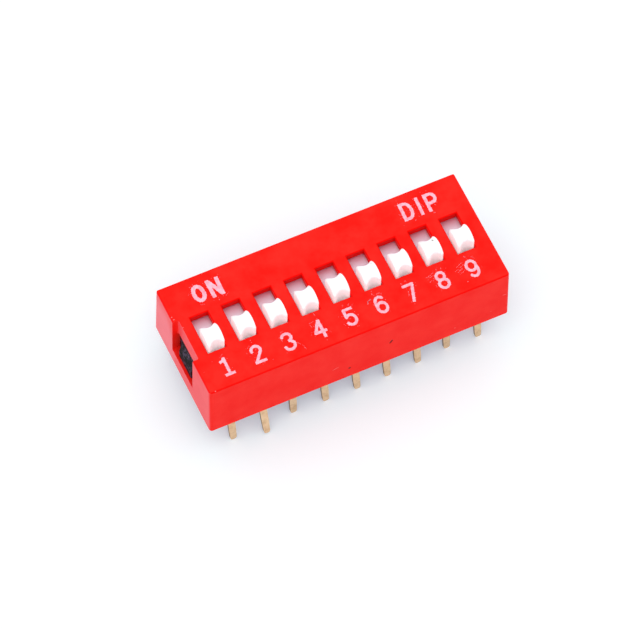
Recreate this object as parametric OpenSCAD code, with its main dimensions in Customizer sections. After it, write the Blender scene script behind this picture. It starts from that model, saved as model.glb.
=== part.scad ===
// Slide switch in a dual in-line package: a snap-on moulded cover over a comb-shaped base,
// with one slider, one spring bridge contact and two terminals for each position.
// +X runs along the row of sliders, +Y points to the ON side, and Z = 0 is the seating plane.

/* [Positions] */
// Number of switch positions
positions = 9; // [4:1:12]
// Distance from one position to the next
pitch = 2.54; // [2.46:0.01:2.7]
// Distance between the two rows of pins where they leave the base
row_w = 7.62; // [7:0.02:10.16]

/* [Cover] */
// Height of the cover from its rim to its top face
cover_h = 5.4; // [5:0.1:7]
// How far each long side leans in between the rim and the top face
side_draft = 0.18; // [0.02:0.01:0.2]
// How far each end leans in between the rim and the top face
end_draft = 0.04; // [0.02:0.01:0.1]
// Thickness of the long walls at the rim
wall_t = 0.72; // [0.5:0.02:1]
// Thickness of the end walls
end_wall_t = 0.84; // [0.7:0.02:1]
// Thickness of the top
top_t = 0.6; // [0.4:0.05:0.9]
// Radius along the edges of the top face
edge_r = 0.15; // [0.05:0.01:0.2]
// Radius of the four upright corners
corner_r = 0.25; // [0.15:0.01:0.4]
// Bevel around the mouth of each slot
slot_bevel = 0.08; // [0.02:0.01:0.12]

/* [End notch and windows] */
// Width of the notch and of the windows that the base snaps into
notch_w = 3.6; // [3:0.1:4.4]
// Depth of the notch in the end wall at position 1
notch_d = 0.54; // [0.2:0.02:0.56]
// Radius of the notch's inner corners
notch_r = 0.14; // [0.05:0.01:0.18]
// Height of the windows' sill above the rim
sill_h = 1.45; // [1:0.05:2]
// Height of the windows
window_h = 2.1; // [1.6:0.1:2.4]

/* [Sliders] */
// Distance that a slider travels from OFF to ON
travel = 1.5; // [1.4:0.05:1.8]
// Width of the knob across the row
knob_w = 1.34; // [1.2:0.02:1.4]
// Length of the knob along its travel
knob_l = 1.7; // [1.5:0.05:1.9]
// Height of the knob above the top face
knob_h = 1.2; // [0.9:0.05:1.5]
// Clearance between the knob and each side of its slot
knob_side_gap = 0.05; // [0.03:0.01:0.08]
// Clearance between the knob and the end of its slot at each stop
knob_end_gap = 0.03; // [0.02:0.01:0.08]
// Radius of the knob's crown
crown_r = 1.05; // [1:0.01:1.3]
// Radius along the two edges of the crown
crown_edge_r = 0.12; // [0.04:0.01:0.2]
// Radius of the knob's upright corners
knob_corner_r = 0.14; // [0.04:0.01:0.15]
// Radius of the finger grooves in the knob's two ends
groove_r = 0.6; // [0.5:0.01:0.8]
// Depth of the finger grooves
groove_d = 0.28; // [0.1:0.01:0.34]
// Radius that eases the crown over into the finger grooves
crest_r = 0.22; // [0.1:0.01:0.3]
// Thickness of the flange that closes the slot from below
flange_t = 0.6; // [0.4:0.05:0.8]
// How far the flange reaches past each side of the slot
flange_side_lap = 0.13; // [0.1:0.01:0.16]
// How far the flange reaches past the end of the slot at each stop
flange_end_lap = 0.15; // [0.1:0.05:0.4]
// Running clearance between the flange and the cover
flange_top_gap = 0.02; // [0.02:0.01:0.05]
// Running clearance between the flange and each side of its cell
flange_side_gap = 0.03; // [0.02:0.01:0.05]
// Width of the post that carries the bridge contact
post_w = 1.2; // [1:0.05:1.5]
// Length of the post
post_l = 1.2; // [0.9:0.05:1.4]
// Radius of the peg that locates the bridge contact
peg_r = 0.2; // [0.12:0.01:0.3]
// How far the peg stands out below the bridge contact
peg_end = 0.15; // [0.05:0.05:0.3]

/* [Bridge contacts] */
// Width of the spring strip
bridge_w = 1; // [0.8:0.05:1.2]
// Thickness of the spring strip
bridge_t = 0.12; // [0.08:0.01:0.15]
// Height of the bridge from its feet to its flat crown
bridge_h = 1.2; // [1:0.05:1.4]
// Distance from the middle of the bridge to each foot
foot_reach = 1.3; // [1.15:0.05:1.5]
// Outer radius of the rolled feet
foot_r = 0.22; // [0.18:0.01:0.28]
// Clearance between the feet and the terminals
foot_gap = 0.01; // [0.01:0.01:0.03]
// Clearance around the peg
peg_gap = 0.02; // [0.01:0.01:0.05]

/* [Terminals] */
// Width of a pin
pin_w = 0.56; // [0.45:0.01:0.65]
// Thickness of the terminal strip
pin_t = 0.25; // [0.2:0.01:0.28]
// Length of a pin below the base
pin_l = 3.35; // [2.8:0.05:4]
// Width of a pin at its tip
tip_w = 0.5; // [0.4:0.02:0.54]
// Radius of the corners of the tip
tip_r = 0.19; // [0.05:0.01:0.2]
// Length of the taper above the tip
taper_l = 1; // [0.8:0.05:1.6]
// How far a pin's tip stands out past the row
pin_splay = 0.55; // [0:0.05:0.8]
// Width of the contact tongue inside the base
tongue_w = 1.2; // [1:0.05:1.4]
// Length of the narrow neck between the bend and the tongue
neck_l = 0.35; // [0.2:0.05:0.6]
// Inner radius of the bend between pin and tongue
bend_r = 0.1; // [0.05:0.01:0.12]
// Gap between the two tongues of a position
contact_gap = 1.2; // [1:0.05:1.5]

/* [Base] */
// Height of the base's solid floor
floor_h = 2.2; // [2:0.05:2.3]
// Thickness of the base outside the slots for the pins
slot_wall = 0.27; // [0.15:0.005:0.5]
// Thickness of the base's end walls beside the first and last cell
base_end_t = 0.33; // [0.25:0.01:0.5]
// Height of the stand-off rib under the base
standoff_h = 0.25; // [0.1:0.05:0.5]
// Width of the stand-off rib
standoff_w = 0.8; // [0.5:0.05:1]
// Length of the rib's two cross bars, which keep the body level on its board
standoff_l = 5; // [3:0.1:6]
// Distance from the cross bars to the ends of the base
standoff_inset = 0.2; // [0.1:0.05:1]
// Clearance between the base and the walls of the cover
base_gap = 0.04; // [0.02:0.01:0.06]
// Clearance around the terminals in their slots
pin_gap = 0.02; // [0.01:0.01:0.04]
// Width of the snap latches
latch_w = 2.1; // [1.6:0.1:2.6]
// How far the snap latches stand out from the base's ends
latch_reach = 0.64; // [0.4:0.02:0.66]
// Height of the latches' upright face
latch_face_h = 0.75; // [0.5:0.05:1]
// How far the latches' slope leans back above the upright face
latch_lean = 0.3; // [0.1:0.02:0.4]
// How far the pad behind each latch stands into the window
pad_reach = 0.24; // [0.1:0.02:0.3]
// Clearance around a latch and its pad in their window
latch_gap = 0.05; // [0.03:0.01:0.1]

/* [Hidden] */

// How much further out than pin_splay each front pin leans; the second was knocked outwards
front_lean = [0.15, 0.83, -0.05, 0.05, 0.1, 0.05, -0.05, -0.3, -0.22];
// How far along +X the tip of each front pin has been pushed
front_skew = [0, -0.1, -0.06, 0.01, 0.05, 0.03, 0.06, 0.03, 0.07];

// How far a cutting shape runs past the face that it opens
over = 1;
// How deep the latches are rooted in the base's ends
latch_root = 0.2;
// How far the rounds of the upright corners stand proud of the walls
corner_proud = 0.001;

rim_z = standoff_h;
top_z = rim_z + cover_h;
ceiling_z = top_z - top_t;
floor_z = rim_z + floor_h;
sill_z = rim_z + sill_h;

slot_w = knob_w + 2 * knob_side_gap;
slot_l = knob_l + travel + 2 * knob_end_gap;

off_y = -travel / 2;
flange_w = slot_w + 2 * flange_side_lap;
flange_l = slot_l + travel + 2 * flange_end_lap;
flange_top_z = ceiling_z - flange_top_gap;
flange_z = flange_top_z - flange_t;
knob_top_z = top_z + knob_h;
crown_z = knob_top_z - crown_r;
cell_w = flange_w + 2 * flange_side_gap;

base_l = (positions - 1) * pitch + cell_w + 2 * base_end_t;
base_w = row_w + pin_t + 2 * pin_gap + 2 * slot_wall;
cover_l = base_l + 2 * base_gap + 2 * end_wall_t;
cover_w = base_w + 2 * base_gap + 2 * wall_t;

bridge_z = floor_z + foot_gap + bridge_h;
foot_z = floor_z + foot_gap + foot_r;

pin_in = row_w / 2 - pin_t / 2;
pin_out = row_w / 2 + pin_t / 2;
tongue_z = floor_z - pin_t;
gap_y = foot_reach - travel / 2;

$fn = 48;

// Centre of a position along the row
function position_x(n) = (n - (positions + 1) / 2) * pitch;

// Places a profile drawn in the Y-Z plane and gives it a thickness along X, centred on X = 0
module along_x(length) {
    rotate([90, 0, 90]) linear_extrude(length, center = true) children();
}

// Places a profile drawn in the X-Z plane and gives it a thickness along Y, centred on Y = 0
module along_y(length) {
    rotate([90, 0, 0]) linear_extrude(length, center = true) children();
}

// Rectangle centred on the origin with round corners
module rounded_rectangle(width, length, r) {
    square([width - 2 * r, length], center = true);
    square([width, length - 2 * r], center = true);
    for (x = [-1, 1], y = [-1, 1])
        translate([x * (width / 2 - r), y * (length / 2 - r)]) circle(r = r);
}

// Section standing on the rim, whose sides lean in by lean and whose upper corners are round
module cover_section(width, lean) {
    angle = atan(lean / cover_h);
    round_z = cover_h - edge_r;
    round_x = width / 2 - lean * round_z / cover_h - edge_r / cos(angle);
    side_x = round_x + edge_r * cos(angle);
    side_z = round_z + edge_r * sin(angle);
    translate([0, rim_z]) {
        polygon([
            [-width / 2, 0], [width / 2, 0], [side_x, side_z],
            [round_x, cover_h], [-round_x, cover_h], [-side_x, side_z]
        ]);
        for (side = [-1, 1]) translate([side * round_x, round_z]) circle(r = edge_r);
    }
}

// Section of a slot's bevelled mouth, size across at the bevel's foot
module slot_mouth(size) {
    foot = size / 2;
    mouth = foot + slot_bevel;
    polygon([
        [-foot, top_z - slot_bevel], [foot, top_z - slot_bevel],
        [mouth, top_z], [mouth, top_z + over], [-mouth, top_z + over], [-mouth, top_z]
    ]);
}

// What rounds one upright corner of the cover, along the line where its two leaning walls meet.
// The round stands proud of the walls by a hair, so that it crosses them and does not just touch.
module corner_cut() {
    translate([cover_l / 2, cover_w / 2, rim_z])
        rotate([atan(side_draft / norm([end_draft, cover_h])), -atan(end_draft / cover_h), 0])
            translate([-corner_r, -corner_r, -over]) linear_extrude(cover_h + 2 * over) difference() {
                square(corner_r + over);
                circle(r = corner_r + corner_proud);
            }
}

// The slot for one knob, cut through the top with a bevel around its mouth
module slot_cut() {
    translate([-slot_w / 2, -slot_l / 2, ceiling_z - over]) cube([slot_w, slot_l, top_t + 2 * over]);
    intersection() {
        along_x(2 * slot_w) slot_mouth(slot_l);
        along_y(2 * slot_l) slot_mouth(slot_w);
    }
}

// Opening through both end walls for the base's latches
module window_cut() {
    translate([-cover_l / 2 - over, -notch_w / 2, sill_z]) cube([cover_l + 2 * over, notch_w, window_h]);
}

// Notch that marks the end wall at position 1, open at the top
module notch_cut() {
    translate([-cover_l / 2, 0, sill_z])
        linear_extrude(cover_h) rounded_rectangle(2 * notch_d, notch_w, notch_r);
}

module cover() {
    color([0.98, 0.14, 0.12]) difference() {
        intersection() {
            along_x(cover_l + 2 * over) cover_section(cover_w, side_draft);
            along_y(cover_w + 2 * over) cover_section(cover_l, end_draft);
        }
        for (x = [0, 1], y = [0, 1]) mirror([x, 0, 0]) mirror([0, y, 0]) corner_cut();
        translate([-cover_l / 2 + end_wall_t, -cover_w / 2 + wall_t, rim_z - over])
            cube([cover_l - 2 * end_wall_t, cover_w - 2 * wall_t, ceiling_z - rim_z + over]);
        for (n = [1:positions]) translate([position_x(n), 0, 0]) slot_cut();
        window_cut();
        notch_cut();
    }
}

// Pocket for one terminal, drawn for the back row: a slot for the pin, eased under the bend,
// and a recess that the tongue lies in
module terminal_pocket(tongue_end) {
    slot_in = pin_in - pin_gap;
    slot_out = pin_out + pin_gap;
    along_x(pin_w + 2 * pin_gap) polygon([
        [slot_in, rim_z - over], [slot_out, rim_z - over], [slot_out, floor_z + over],
        [slot_in - neck_l, floor_z + over], [slot_in - neck_l, tongue_z],
        [slot_in - bend_r, tongue_z], [slot_in, tongue_z - bend_r]
    ]);
    translate([-tongue_w / 2 - pin_gap, tongue_end - pin_gap, tongue_z])
        cube([tongue_w + 2 * pin_gap, pin_in - neck_l - tongue_end + 2 * pin_gap, pin_t + over]);
}

// Snap latch on the +X end, with a slope that lets the cover ride over it, and the wide pad
// that closes the rest of its window
module latch() {
    root_x = base_l / 2 - latch_root;
    face_x = base_l / 2 + latch_reach;
    low_z = sill_z + latch_gap;
    high_z = sill_z + window_h - latch_gap;
    along_y(latch_w) polygon([
        [root_x, low_z], [face_x, low_z], [face_x, low_z + latch_face_h],
        [face_x - latch_lean, high_z], [root_x, high_z]
    ]);
    translate([root_x, latch_gap - notch_w / 2, low_z])
        cube([latch_root + pad_reach, notch_w - 2 * latch_gap, high_z - low_z]);
}

// Half of the rib that the part is seated on: a spine from the middle and its cross bar
module standoff() {
    bar_x = base_l / 2 - standoff_inset - standoff_w;
    height = standoff_h + pin_t;
    translate([0, -standoff_w / 2, 0]) cube([bar_x + standoff_w, standoff_w, height]);
    translate([bar_x, -standoff_l / 2, 0]) cube([standoff_w, standoff_l, height]);
}

module base() {
    color([0.16, 0.14, 0.16]) {
        difference() {
            translate([-base_l / 2, -base_w / 2, rim_z]) cube([base_l, base_w, ceiling_z - rim_z]);
            for (n = [1:positions]) translate([position_x(n), 0, 0]) {
                translate([-cell_w / 2, -base_w / 2 - over, floor_z])
                    cube([cell_w, base_w + 2 * over, ceiling_z - floor_z + over]);
                terminal_pocket(gap_y + contact_gap / 2);
                mirror([0, 1, 0]) terminal_pocket(contact_gap / 2 - gap_y);
            }
        }
        for (end = [0, 1]) mirror([end, 0, 0]) {
            latch();
            standoff();
        }
    }
}

// Cutter for one finger groove, upright on its own axis. Its rim flares out in a round that meets
// the crown along the middle of the knob.
module groove_cut() {
    wall_y = knob_l / 2 - groove_d;
    round_y = wall_y - crest_r;
    meet_y = round_y * crown_r / (crown_r - crest_r);
    round_z = sqrt(pow(crown_r - crest_r, 2) - round_y * round_y);
    axis_y = wall_y + groove_r;
    translate([0, axis_y, crown_z]) rotate_extrude() {
        translate([0, flange_z - over - crown_z]) square([groove_r, knob_h + crown_r + over]);
        difference() {
            translate([0, round_z]) square([axis_y - meet_y, crown_r]);
            translate([axis_y - round_y, round_z]) circle(r = crest_r);
        }
    }
}

// Disc lying across the row whose rim is the knob's crown
module crown_disc() {
    translate([0, 0, crown_z]) rotate([0, 90, 0]) rotate_extrude() {
        translate([0, -knob_w / 2]) square([crown_r - crown_edge_r, knob_w]);
        translate([0, crown_edge_r - knob_w / 2]) square([crown_r, knob_w - 2 * crown_edge_r]);
        for (edge = [-1, 1])
            translate([crown_r - crown_edge_r, edge * (knob_w / 2 - crown_edge_r)])
                circle(r = crown_edge_r);
    }
}

module knob() {
    difference() {
        intersection() {
            translate([0, 0, flange_z]) linear_extrude(knob_top_z - flange_z + over)
                rounded_rectangle(knob_w, knob_l, knob_corner_r);
            union() {
                crown_disc();
                translate([-knob_w, -knob_l, flange_z])
                    cube([2 * knob_w, 2 * knob_l, crown_z - flange_z]);
            }
        }
        for (end = [0, 1]) mirror([0, end, 0]) groove_cut();
    }
}

module slider(n) {
    color([0.98, 0.97, 0.98]) translate([position_x(n), off_y, 0]) {
        knob();
        translate([-flange_w / 2, -flange_l / 2, flange_z]) cube([flange_w, flange_l, flange_t]);
        translate([-post_w / 2, -post_l / 2, bridge_z])
            cube([post_w, post_l, flange_top_z - bridge_z]);
        translate([0, 0, bridge_z - bridge_t - peg_end])
            cylinder(r = peg_r, h = flange_z - bridge_z + bridge_t + peg_end);
    }
}

// One sloping arm of the bridge and its rolled foot
module bridge_arm() {
    polygon([
        [post_l / 2, bridge_z], [post_l / 2, bridge_z - bridge_t],
        [foot_reach - foot_r, foot_z], [foot_reach - foot_r + bridge_t, foot_z]
    ]);
    translate([foot_reach, foot_z]) difference() {
        circle(r = foot_r);
        circle(r = foot_r - bridge_t);
        translate([-2 * foot_r, 0]) square([4 * foot_r, 2 * foot_r]);
    }
}

module bridge_contact(n) {
    color([0.85, 0.68, 0.42]) translate([position_x(n), off_y, 0]) difference() {
        along_x(bridge_w) {
            translate([-post_l / 2, bridge_z - bridge_t]) square([post_l, bridge_t]);
            bridge_arm();
            mirror([1, 0]) bridge_arm();
        }
        translate([0, 0, bridge_z - over]) cylinder(r = peg_r + peg_gap, h = 2 * over);
    }
}

// Strip seen from its edge: tongue, bend and a pin whose tip stands out by splay
module terminal_profile(tongue_end, splay, drop) {
    bend_out = bend_r + pin_t;
    bend_y = pin_out - bend_out;
    bend_z = floor_z - bend_out;
    translate([tongue_end, tongue_z]) square([bend_y - tongue_end, pin_t]);
    translate([pin_in, rim_z]) square([pin_t, bend_z - rim_z]);
    translate([bend_y, bend_z]) intersection() {
        difference() {
            circle(r = bend_out);
            circle(r = bend_r);
        }
        square(bend_out);
    }
    polygon([
        [pin_in, rim_z], [pin_out, rim_z],
        [pin_out + splay, rim_z - drop], [pin_in + splay, rim_z - drop]
    ]);
}

// Outline of a pin seen face on, with its tapered and rounded tip pushed aside by skew
module pin_outline(drop, skew) {
    tip_z = rim_z - drop;
    taper_x = skew * (drop - taper_l) / drop;
    tip_x = skew * (drop - tip_r) / drop;
    polygon([
        [-pin_w / 2, floor_z + over], [-pin_w / 2, rim_z], [taper_x - pin_w / 2, tip_z + taper_l],
        [tip_x - tip_w / 2, tip_z + tip_r], [tip_x + tip_w / 2, tip_z + tip_r],
        [taper_x + pin_w / 2, tip_z + taper_l], [pin_w / 2, rim_z], [pin_w / 2, floor_z + over]
    ]);
    translate([tip_x + tip_r - tip_w / 2, tip_z]) square([tip_w - 2 * tip_r, 2 * tip_r]);
    for (side = [-1, 1])
        translate([tip_x + side * (tip_w / 2 - tip_r), tip_z + tip_r]) circle(r = tip_r);
}

// One terminal of the back row, from the end of its tongue to the tip of its pin
module terminal(tongue_end, splay, skew) {
    drop = sqrt(pin_l * pin_l - splay * splay);
    color([0.83, 0.68, 0.5]) {
        intersection() {
            along_x(2 * pin_w) terminal_profile(tongue_end, splay, drop);
            along_y(4 * row_w) pin_outline(drop, skew);
        }
        translate([-tongue_w / 2, tongue_end, tongue_z])
            cube([tongue_w, pin_in - neck_l - tongue_end, pin_t]);
    }
}

module front_terminal(n) {
    lean = front_lean[(n - 1) % len(front_lean)];
    skew = front_skew[(n - 1) % len(front_skew)];
    translate([position_x(n), 0, 0]) mirror([0, 1, 0])
        terminal(contact_gap / 2 - gap_y, pin_splay + lean, skew);
}

module back_terminal(n) {
    translate([position_x(n), 0, 0]) terminal(gap_y + contact_gap / 2, pin_splay, 0);
}

cover();
base();
for (n = [1:positions]) {
    slider(n);
    bridge_contact(n);
    front_terminal(n);
    back_terminal(n);
}
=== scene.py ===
"""Finishes, printed marks and studio for a nine-position slide switch in a dual in-line body.

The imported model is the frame: every moulded and stamped piece keeps its own solid and is given its finish
here. What this script adds is the pad-printed ink on the cover, the studio and the camera. Lengths are in
millimetres and are turned into the frame's metres where a mesh, a lamp or a texture scale is made.
"""

import logging
import math
from dataclasses import dataclass, field
from enum import Enum

import bpy
import numpy as np
from mathutils import Matrix, Vector


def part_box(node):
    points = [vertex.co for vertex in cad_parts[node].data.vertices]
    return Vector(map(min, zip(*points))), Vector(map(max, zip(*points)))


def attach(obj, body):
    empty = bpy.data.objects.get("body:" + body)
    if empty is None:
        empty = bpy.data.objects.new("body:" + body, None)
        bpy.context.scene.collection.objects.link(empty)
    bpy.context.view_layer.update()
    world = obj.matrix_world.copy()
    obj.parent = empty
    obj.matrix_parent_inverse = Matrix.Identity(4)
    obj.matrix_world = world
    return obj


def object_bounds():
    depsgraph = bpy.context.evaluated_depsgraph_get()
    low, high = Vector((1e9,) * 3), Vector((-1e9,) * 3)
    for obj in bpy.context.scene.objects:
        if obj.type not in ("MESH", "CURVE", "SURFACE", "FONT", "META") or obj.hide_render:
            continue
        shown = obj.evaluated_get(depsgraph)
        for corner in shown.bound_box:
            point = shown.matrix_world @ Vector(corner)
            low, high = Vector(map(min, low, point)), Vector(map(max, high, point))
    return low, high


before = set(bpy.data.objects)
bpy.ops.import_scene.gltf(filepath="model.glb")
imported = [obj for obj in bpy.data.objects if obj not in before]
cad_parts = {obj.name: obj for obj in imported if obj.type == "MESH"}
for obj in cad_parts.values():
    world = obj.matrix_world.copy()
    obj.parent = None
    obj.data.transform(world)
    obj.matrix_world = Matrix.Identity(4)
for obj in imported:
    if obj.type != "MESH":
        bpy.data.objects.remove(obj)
CAD_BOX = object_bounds()

log = logging.getLogger("slide_switch")

MM = 0.001  # one millimetre in the frame's metres
POSITIONS = 9  # switches in the row
CAP = 0.79  # mm from a printed character's middle to the end of an upright stroke
MIX_A, MIX_B, MIX_RESULT = 6, 7, 2  # the colour sockets of a Mix node

Point = tuple[float, float]
Place = tuple[float, float, float]
Socket = bpy.types.NodeSocket
Tree = bpy.types.ShaderNodeTree


def linear(hex_colour: str) -> tuple[float, float, float, float]:
    """Turns an sRGB hex colour into the linear colour that a shader takes.

    Args:
        hex_colour: Six hex digits, such as "FF2A20".

    Returns:
        Red, green, blue and an alpha of 1.
    """
    parts = [int(hex_colour[i : i + 2], 16) / 255 for i in (0, 2, 4)]
    red, green, blue = (p / 12.92 if p <= 0.04045 else ((p + 0.055) / 1.055) ** 2.4 for p in parts)
    return red, green, blue, 1.0


def per_mm(size: float) -> float:
    """Returns the texture scale at which a pattern repeats about every size millimetres."""
    return 1 / (size * MM)


def fill(tree: Tree, node: bpy.types.Node, inputs: dict) -> None:
    """Fills or links a node's inputs.

    Args:
        tree: The node tree that holds the node.
        node: The node.
        inputs: Socket names or numbers, each with a plain value, with the output to link from, or with the
            node whose first output is linked.
    """
    for socket, value in inputs.items():
        if isinstance(value, bpy.types.Node):
            value = value.outputs[0]
        if isinstance(value, Socket):
            tree.links.new(value, node.inputs[socket])
        else:
            node.inputs[socket].default_value = value


def add(tree: Tree, kind: str, inputs: dict | None = None, **settings: object) -> bpy.types.Node:
    """Adds one node, sets its properties, and fills or links its inputs.

    Args:
        tree: The node tree to add to.
        kind: The node's Blender type name.
        inputs: What its inputs take, as fill has it.
        **settings: The node's own properties.

    Returns:
        The new node.
    """
    node = tree.nodes.new(kind)
    for name, value in settings.items():
        setattr(node, name, value)
    fill(tree, node, inputs or {})
    return node


class PenEnd(Enum):
    """How a printed stroke ends."""

    SQUARE = "square"
    ROUND = "round"


@dataclass(frozen=True)
class Finish:
    """What one material is made of and how its surface was made."""

    name: str = "finish"

    def material(self) -> bpy.types.Material:
        """Builds the material.

        Returns:
            A node material, wired by the finish's own wire method.
        """
        made = bpy.data.materials.new(self.name)
        made.use_nodes = True
        tree = made.node_tree
        shader = next(node for node in tree.nodes if node.type == "BSDF_PRINCIPLED")
        place = add(tree, "ShaderNodeTexCoord").outputs["Object"]
        self.wire(tree, shader, place)
        return made

    def wire(self, tree: Tree, shader: bpy.types.Node, place: Socket) -> None:
        """Wires the finish into its shader. Each finish has its own."""
        raise NotImplementedError


@dataclass(frozen=True)
class Blemish:
    """A small mark at one place on a moulding, as an ellipsoid that fades at its edge."""

    centre: Place
    size: Place
    turn: float = 0.0  # degrees about Y, the axis that a front face looks along
    core: float = 0.55  # the share of its reach over which it is at full strength

    def mask(self, tree: Tree, place: Socket) -> Socket:
        """Gives 1 inside the mark and 0 outside.

        Args:
            tree: The material's node tree.
            place: Position in the frame, in metres.

        Returns:
            The socket with the mask.
        """
        local = add(
            tree,
            "ShaderNodeMapping",
            {
                "Vector": place,
                "Location": Vector(self.centre) * MM,
                "Rotation": (0, math.radians(self.turn), 0),
                "Scale": Vector(self.size) * MM,
            },
            vector_type="TEXTURE",
        )
        reach = add(tree, "ShaderNodeVectorMath", {0: local}, operation="LENGTH")
        return add(
            tree,
            "ShaderNodeMapRange",
            {"Value": reach.outputs["Value"], "From Min": 1.0, "From Max": self.core},
            interpolation_type="SMOOTHSTEP",
        ).outputs[0]


@dataclass(frozen=True)
class MouldedCoverPlastic(Finish):
    """Red PBT, injection moulded in a finely sparked tool.

    It looks satin, deep red from above, and paler where it is seen at a flat angle, because a plastic
    reflects its surroundings there; on both ends that paleness is also a painted reflection in its colour.
    The slot walls, the rounded top edge and the pits carry painted shade. Loose dust and a few handling
    marks show as pale flecks.
    """

    name: str = "cover_plastic"
    red: str = "FF2A21"
    deep_red: str = "FB1911"
    dust: str = "FF9C9C"
    # painted reflection: the pale pink that the ends show at a flat angle
    painted_reflection_pink: str = "FFC6D6"
    # painted shade: the deeper red of the walls inside the slots
    slot_shade_red: str = "E40E0A"
    # painted shade: the deeper red line of the rounded top edge, which reflects less
    painted_edge_red: str = "F90500"
    # painted shade: the dark red inside the pits
    pit_shade_red: str = "5C0000"
    ior: float = 1.45
    gloss: float = 0.06  # of the full reflection, as the sparked skin scatters most of it
    roughness: Point = (0.34, 0.44)  # in the palest and the deepest patches
    mottle: float = 1.7  # mm, patches from the flow of the melt
    mottle_layers: float = 6.0  # of ever finer patches in the patches
    mottle_break: float = 0.65  # how strong each layer is, against the coarser one before it
    mottle_range: Point = (0.36, 0.64)  # of the noise, over which the red deepens
    grain: float = 0.11  # mm, spark texture, drawn coarser than the real 0.02 mm so that it shows
    grain_depth: float = 0.0022  # mm
    fleck_pitch: float = 0.9  # mm between places where a fleck may lie
    fleck: float = 0.036  # mm, radius of the largest fleck
    fleckless: float = 0.78  # the share of those places that stay clean
    cover_by_dust: float = 0.75  # how much of the red a fleck or a scuff hides
    slot_shade_middle: Place = (0.0, 0.0, 5.2)
    slot_shade_half: Place = (11.2, 1.7, 0.38)  # mm, the room of the slots' walls, which take painted shade
    edge_from: Point = (0.15, 0.4)  # how far up a face looks where a wall turns into the rounded edge
    edge_to: Point = (0.98, 0.85)  # and where that edge turns into the top
    end_painted_reflection: float = 0.155  # how much paler both ends are painted, as a painted reflection at a flat angle
    end_facing: Point = (0.7, 0.98)  # how squarely a face looks along the row to take the painted reflection
    end_skin: float = 11.4  # mm from the middle, past which a face along the row is an outer one
    pit_depth: float = 12.0  # times as deep as the grain
    # the patch of the left end where the painted reflection is twice as strong
    painted_reflection_patch: Blemish = Blemish((-12.2, 3.6, 1.9), (0.9, 2.9, 3.9))
    pits: tuple[Blemish, ...] = (
        Blemish((2.51, -4.9, 2.81), (0.27, 0.4, 0.1), -56.0),
        Blemish((-0.89, -4.9, 1.41), (0.13, 0.4, 0.1)),
    )
    scuffs: tuple[Blemish, ...] = (
        Blemish((-2.03, -4.95, 2.09), (0.36, 0.3, 0.03), -18.0),
        Blemish((11.82, -4.9, 3.02), (0.2, 0.3, 0.03), 12.0),
        Blemish((7.79, -4.95, 1.07), (0.09, 0.3, 0.035), 12.0),
        Blemish((-12.06, 2.23, 5.6), (0.07, 0.06, 0.1)),
        Blemish((-12.0, 1.98, 5.6), (0.1, 0.05, 0.1)),
        Blemish((-11.66, 1.1, 5.62), (0.06, 0.05, 0.06)),
        Blemish((-11.7, -4.75, 5.62), (0.06, 0.05, 0.05)),
    )

    def flecks(self, tree: Tree, place: Socket) -> Socket:
        """Scatters dust flecks of many sizes, on about one cell in five of a random pattern.

        Args:
            tree: The material's node tree.
            place: Position in the frame, in metres.

        Returns:
            The socket with 1 on a fleck and 0 elsewhere.
        """
        cells = add(tree, "ShaderNodeTexVoronoi", {"Vector": place, "Scale": per_mm(self.fleck_pitch)})
        chosen = add(tree, "ShaderNodeSeparateColor", {"Color": cells.outputs["Color"]})
        reach = add(
            tree,
            "ShaderNodeMapRange",
            {"Value": chosen, "From Min": self.fleckless, "To Max": self.fleck / self.fleck_pitch},
        )
        inside = add(
            tree, "ShaderNodeMath", {0: cells.outputs["Distance"], 1: reach}, operation="LESS_THAN"
        )
        return inside.outputs[0]

    def painted_slot_shade(self, tree: Tree, place: Socket) -> Socket:
        """Finds the walls of the slots, which are painted a deeper red as the shade inside the slots.

        Args:
            tree: The material's node tree.
            place: Position in the frame, in metres.

        Returns:
            The socket with 1 in the room of the slots' walls and 0 outside.
        """
        core = add(
            tree,
            "ShaderNodeMapping",
            {
                "Vector": place,
                "Location": Vector(self.slot_shade_middle) * MM,
                "Scale": Vector(self.slot_shade_half) * MM,
            },
            vector_type="TEXTURE",
        )
        off = add(tree, "ShaderNodeVectorMath", {0: core}, operation="ABSOLUTE")
        sides = add(tree, "ShaderNodeSeparateXYZ", {0: off})
        farthest = sides.outputs["X"]
        for side in ("Y", "Z"):
            farthest = add(tree, "ShaderNodeMath", {0: farthest, 1: sides.outputs[side]}, operation="MAXIMUM")
        return add(tree, "ShaderNodeMath", {0: farthest, 1: 1.0}, operation="LESS_THAN").outputs[0]

    def painted_edge_line(self, tree: Tree, up: Socket) -> Socket:
        """Finds the rounded edge of the top, painted as a thin line of deeper red where it reflects less.

        Args:
            tree: The material's node tree.
            up: How far up the face looks, from -1 to 1.

        Returns:
            The socket with 1 on the edge and 0 on the walls and the top.
        """
        past_wall, before_top = (
            add(tree, "ShaderNodeMapRange", {"Value": up, "From Min": low, "From Max": high})
            for low, high in (self.edge_from, self.edge_to)
        )
        return add(tree, "ShaderNodeMath", {0: past_wall, 1: before_top}, operation="MULTIPLY").outputs[0]

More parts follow.
